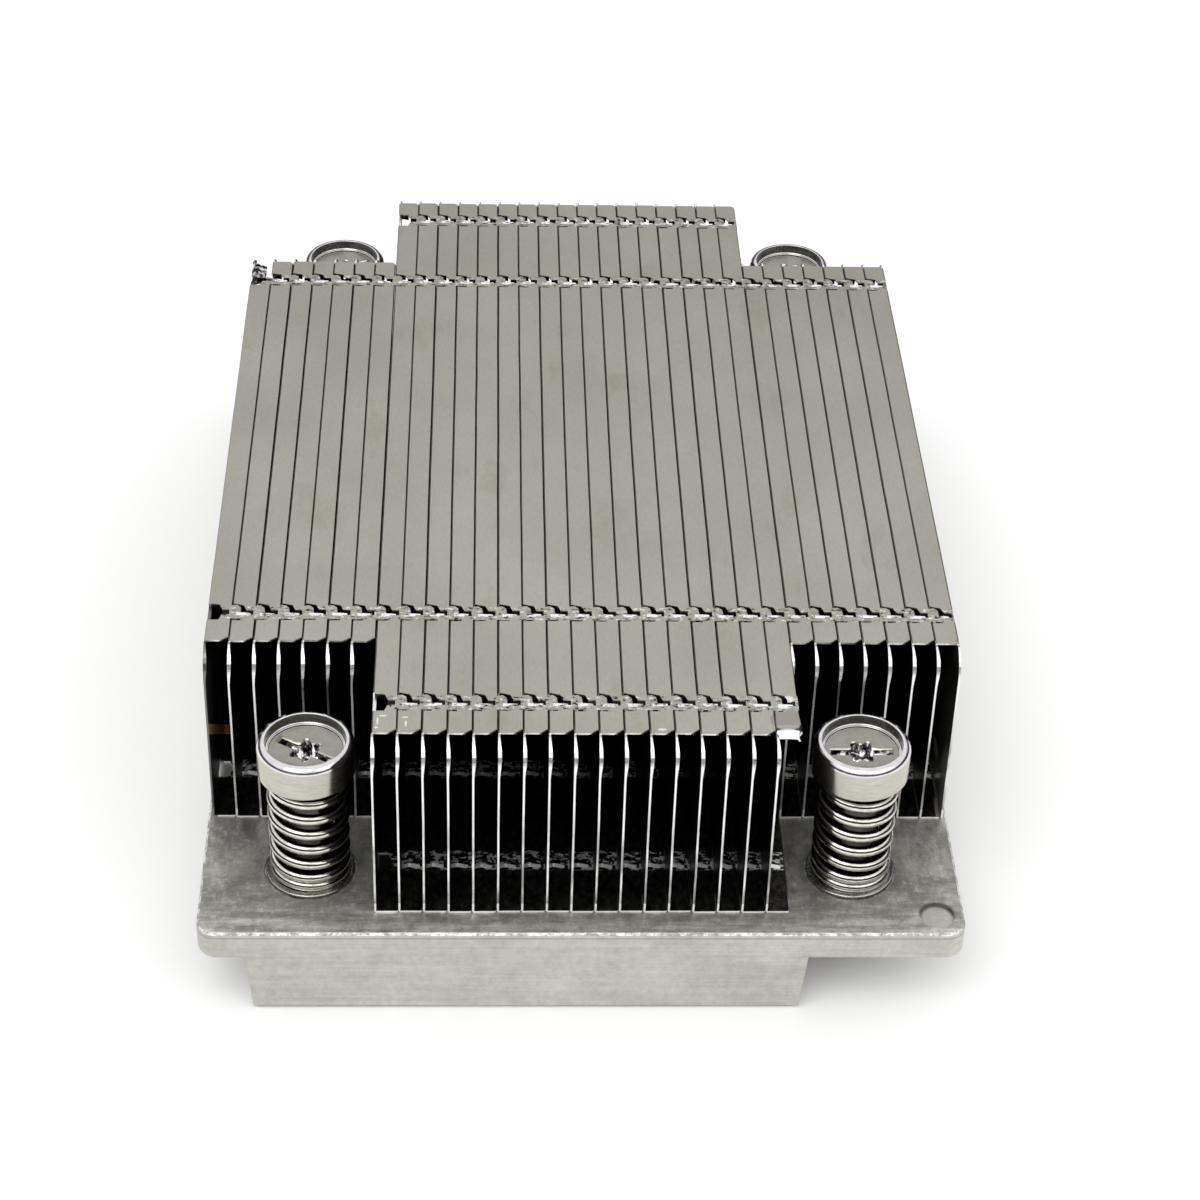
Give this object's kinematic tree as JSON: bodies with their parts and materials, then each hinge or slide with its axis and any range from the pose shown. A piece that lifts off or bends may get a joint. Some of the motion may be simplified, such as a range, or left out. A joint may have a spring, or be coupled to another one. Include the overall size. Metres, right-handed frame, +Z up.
{
  "type": "processor heatsink",
  "caption": "Low passive processor heatsink: folded, interlocked sheet fins stand side by side on a thick metal base, which spring-loaded captive screws pull down onto a socket.",
  "frame": {"origin": "middle of the screw pattern, on the flat underside that meets the processor", "axes": "+Z up from the processor, +Y along the fins to the back, +X from fin to fin to the right"},
  "size_m": [0.0784, 0.1136, 0.032],
  "materials": {
    "base_metal": "dull, mottled nickel look, scratched",
    "fin_sheet": "satin nickel look, with faint stains",
    "washer_steel": "bright plated",
    "spring_steel": "bright plated wire",
    "screw_plating": "glossy nickel plating",
    "clip_steel": "plain spring steel"
  },
  "bodies": {
    "heatsink": {"base": "base_metal", "fin_01": "fin_sheet", "fin_02": "fin_sheet", "fin_03": "fin_sheet", "fin_04": "fin_sheet", "fin_05": "fin_sheet", "fin_06": "fin_sheet", "fin_07": "fin_sheet", "fin_08": "fin_sheet", "fin_09": "fin_sheet", "fin_10": "fin_sheet", "fin_11": "fin_sheet", "fin_12": "fin_sheet", "fin_13": "fin_sheet", "fin_14": "fin_sheet", "fin_15": "fin_sheet", "fin_16": "fin_sheet", "fin_17": "fin_sheet", "fin_18": "fin_sheet", "fin_19": "fin_sheet", "fin_20": "fin_sheet", "fin_21": "fin_sheet", "fin_22": "fin_sheet", "fin_23": "fin_sheet", "fin_24": "fin_sheet", "fin_25": "fin_sheet", "fin_26": "fin_sheet", "fin_27": "fin_sheet", "fin_28": "fin_sheet", "fin_29": "fin_sheet", "fin_30": "fin_sheet", "fin_31": "fin_sheet", "front_left_washer": "washer_steel", "front_left_spring": "spring_steel", "front_right_washer": "washer_steel", "front_right_spring": "spring_steel", "rear_left_washer": "washer_steel", "rear_left_spring": "spring_steel", "rear_right_washer": "washer_steel", "rear_right_spring": "spring_steel"},
    "front_left_clip": {"front_left_clip": "clip_steel"},
    "front_right_clip": {"front_right_clip": "clip_steel"},
    "rear_left_clip": {"rear_left_clip": "clip_steel"},
    "rear_right_clip": {"rear_right_clip": "clip_steel"},
    "front_left_screw": {"front_left_screw": "screw_plating"},
    "front_right_screw": {"front_right_screw": "screw_plating"},
    "rear_left_screw": {"rear_left_screw": "screw_plating"},
    "rear_right_screw": {"rear_right_screw": "screw_plating"}
  },
  "joints": [
    {"name": "front_left_press", "type": "slide", "parent": "heatsink", "child": "front_left_clip", "axis": [0, 0, 1], "range_m": [-0.0035, 0], "stiffness_N_per_m": 7600, "deforming": ["front_left_spring"]},
    {"name": "front_left_turn", "type": "hinge", "parent": "front_left_clip", "child": "front_left_screw", "pos_m": [-0.028, -0.047, 0.0108], "axis": [0, 0, 1], "continuous": true},
    {"name": "front_right_press", "type": "slide", "parent": "heatsink", "child": "front_right_clip", "axis": [0, 0, 1], "range_m": [-0.0035, 0], "stiffness_N_per_m": 7600, "deforming": ["front_right_spring"]},
    {"name": "front_right_turn", "type": "hinge", "parent": "front_right_clip", "child": "front_right_screw", "pos_m": [0.028, -0.047, 0.0108], "axis": [0, 0, 1], "continuous": true},
    {"name": "rear_left_press", "type": "slide", "parent": "heatsink", "child": "rear_left_clip", "axis": [0, 0, 1], "range_m": [-0.0035, 0], "stiffness_N_per_m": 7600, "deforming": ["rear_left_spring"]},
    {"name": "rear_left_turn", "type": "hinge", "parent": "rear_left_clip", "child": "rear_left_screw", "pos_m": [-0.028, 0.047, 0.0108], "axis": [0, 0, 1], "continuous": true},
    {"name": "rear_right_press", "type": "slide", "parent": "heatsink", "child": "rear_right_clip", "axis": [0, 0, 1], "range_m": [-0.0035, 0], "stiffness_N_per_m": 7600, "deforming": ["rear_right_spring"]},
    {"name": "rear_right_turn", "type": "hinge", "parent": "rear_right_clip", "child": "rear_right_screw", "pos_m": [0.028, 0.047, 0.0108], "axis": [0, 0, 1], "continuous": true}
  ]
}
